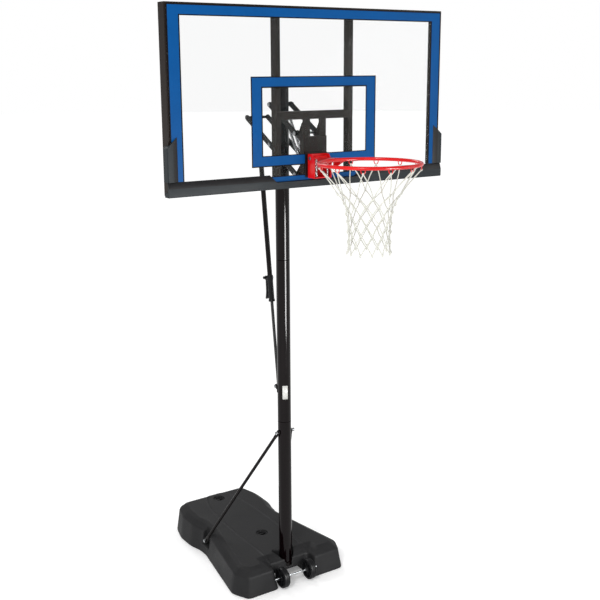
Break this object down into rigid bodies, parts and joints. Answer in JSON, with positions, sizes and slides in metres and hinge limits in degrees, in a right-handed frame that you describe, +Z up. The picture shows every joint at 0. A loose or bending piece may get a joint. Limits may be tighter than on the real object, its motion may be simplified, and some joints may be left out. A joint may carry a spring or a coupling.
{
  "type": "portable basketball hoop",
  "caption": "Portable basketball hoop: a ballast tank on wheels, a braced pole, lift arms with a height lock, a framed clear board and a spring-back rim with a net.",
  "frame": {"origin": "on the floor, under the middle of the object's box", "axes": "+Z up, -Y towards the player, +X to the right as the player's side is seen from the front"},
  "size_m": [1.544, 1.7984, 2.963],
  "materials": {
    "tank_plastic": "blow-moulded, fine pebble texture",
    "black_plastic": "moulded, satin",
    "pole_paint": "gloss powder coat",
    "black_paint": "satin powder coat",
    "frame_paint": "satin powder coat",
    "pad_plastic": "moulded, matt",
    "acrylic": "clear, polished",
    "rim_red": "gloss powder coat",
    "zinc": "zinc plated",
    "spring_steel": "plated wire",
    "net_cord": "braided cord"
  },
  "bodies": {
    "base": {"base_tank": "tank_plastic", "pole_lower": "pole_paint", "pole_middle": "pole_paint", "pole_upper": "pole_paint", "pole_top_cap": "black_plastic", "base_brace_left": "black_paint", "base_brace_right": "black_paint", "brace_foot_bolt_left": "zinc", "brace_foot_bolt_right": "zinc", "brace_pole_bolt": "zinc", "wheel_axle": "zinc", "lower_pivot_bolt": "zinc", "upper_pivot_bolt": "zinc", "spring_lug": "black_paint", "lift_foot_clamp": "black_paint", "lift_foot_bolt": "zinc"},
    "wheel_left": {"wheel_left": "black_plastic"},
    "wheel_right": {"wheel_right": "black_plastic"},
    "fill_cap_front": {"fill_cap_front": "black_plastic"},
    "fill_cap_rear": {"fill_cap_rear": "black_plastic"},
    "lower_arms": {"lower_arm_left": "black_paint", "lower_arm_right": "black_paint"},
    "upper_arms": {"upper_arm_left": "black_paint", "upper_arm_right": "black_paint"},
    "board": {"backboard_sheet": "acrylic", "frame_top_rail": "frame_paint", "frame_bottom_rail": "frame_paint", "frame_left_rail": "frame_paint", "frame_right_rail": "frame_paint", "frame_strut_left": "frame_paint", "frame_strut_right": "frame_paint", "frame_cross_bar": "frame_paint", "board_bracket_left": "frame_paint", "board_bracket_right": "frame_paint", "rim_backing_plate": "frame_paint", "pad_bottom": "pad_plastic", "pad_side_left": "pad_plastic", "pad_side_right": "pad_plastic", "lower_front_bolt": "zinc", "upper_front_bolt": "zinc", "rim_mount_plate": "black_paint", "rim_housing": "rim_red", "breakaway_pin": "zinc", "rim_bolt_left": "zinc", "rim_bolt_right": "zinc", "rim_spring_left": "spring_steel", "rim_spring_right": "spring_steel"},
    "rim": {"rim_yoke": "rim_red", "rim_ring": "rim_red", "net": "net_cord"},
    "lift_rod": {"lift_rod": "zinc"},
    "lift_tube": {"lift_tube": "black_paint", "lift_handle": "black_plastic", "trigger_pin": "black_plastic"},
    "lift_trigger": {"lift_trigger": "black_plastic"},
    "counter_springs": {"counter_spring_left": "spring_steel", "counter_spring_right": "spring_steel"}
  },
  "joints": [
    {"name": "height_hinge", "type": "hinge", "parent": "base", "child": "lower_arms", "pos_m": [0, 0.04924, 2.32965], "axis": [-1, 0, 0], "range_deg": [0, 60]},
    {"name": "upper_arm_hinge", "type": "hinge", "parent": "base", "child": "upper_arms", "pos_m": [0, 0.04924, 2.52165], "axis": [-1, 0, 0], "range_deg": [0, 60]},
    {"name": "board_hinge", "type": "hinge", "parent": "lower_arms", "child": "board", "pos_m": [0, -0.17444, 2.2031], "axis": [-1, 0, 0], "range_deg": [-60, 0]},
    {"name": "lift_rod_hinge", "type": "hinge", "parent": "base", "child": "lift_rod", "pos_m": [0, 0.09424, 1.06965], "axis": [-1, 0, 0], "range_deg": [0, 1.44]},
    {"name": "lift_slide", "type": "slide", "parent": "lift_rod", "child": "lift_tube", "axis": [0, -0.1227, -0.9924], "range_m": [0, 0.2463]},
    {"name": "spring_swing", "type": "hinge", "parent": "base", "child": "counter_springs", "pos_m": [0, -0.01076, 2.46965], "axis": [-1, 0, 0], "range_deg": [0, 55.2], "deforming": ["counter_spring_left", "counter_spring_right"]},
    {"name": "rim_flex", "type": "hinge", "parent": "board", "child": "rim", "pos_m": [0, -0.27874, 2.285], "axis": [1, 0, 0], "range_deg": [0, 30], "stiffness_Nm_per_rad": 80, "springref_deg": -20.05, "deforming": ["rim_spring_left", "rim_spring_right"]},
    {"name": "trigger_squeeze", "type": "hinge", "parent": "lift_tube", "child": "lift_trigger", "pos_m": [0, 0.18885, 1.63532], "axis": [-1, 0, 0], "range_deg": [0, 6], "stiffness_Nm_per_rad": 0.6, "springref_deg": -11.46},
    {"name": "wheel_left_spin", "type": "hinge", "parent": "base", "child": "wheel_left", "pos_m": [-0.084, -0.06076, 0.058], "axis": [1, 0, 0], "continuous": true},
    {"name": "wheel_right_spin", "type": "hinge", "parent": "base", "child": "wheel_right", "pos_m": [0.084, -0.06076, 0.058], "axis": [1, 0, 0], "continuous": true},
    {"name": "fill_cap_front_lift", "type": "slide", "parent": "base", "child": "fill_cap_front", "axis": [0, 0, 1], "range_m": [0, 0.03]},
    {"name": "fill_cap_rear_lift", "type": "slide", "parent": "base", "child": "fill_cap_rear", "axis": [0, 0, 1], "range_m": [0, 0.03]}
  ],
  "couplings": [
    {"joint": "upper_arm_hinge", "follows": "height_hinge", "ratio": 1},
    {"joint": "board_hinge", "follows": "height_hinge", "ratio": -1},
    {"joint": "lift_rod_hinge", "follows": "height_hinge", "ratio": 0.023551},
    {"joint": "lift_slide", "follows": "height_hinge", "m_per_rad": 0.23494},
    {"joint": "spring_swing", "follows": "height_hinge", "ratio": 0.91762}
  ]
}
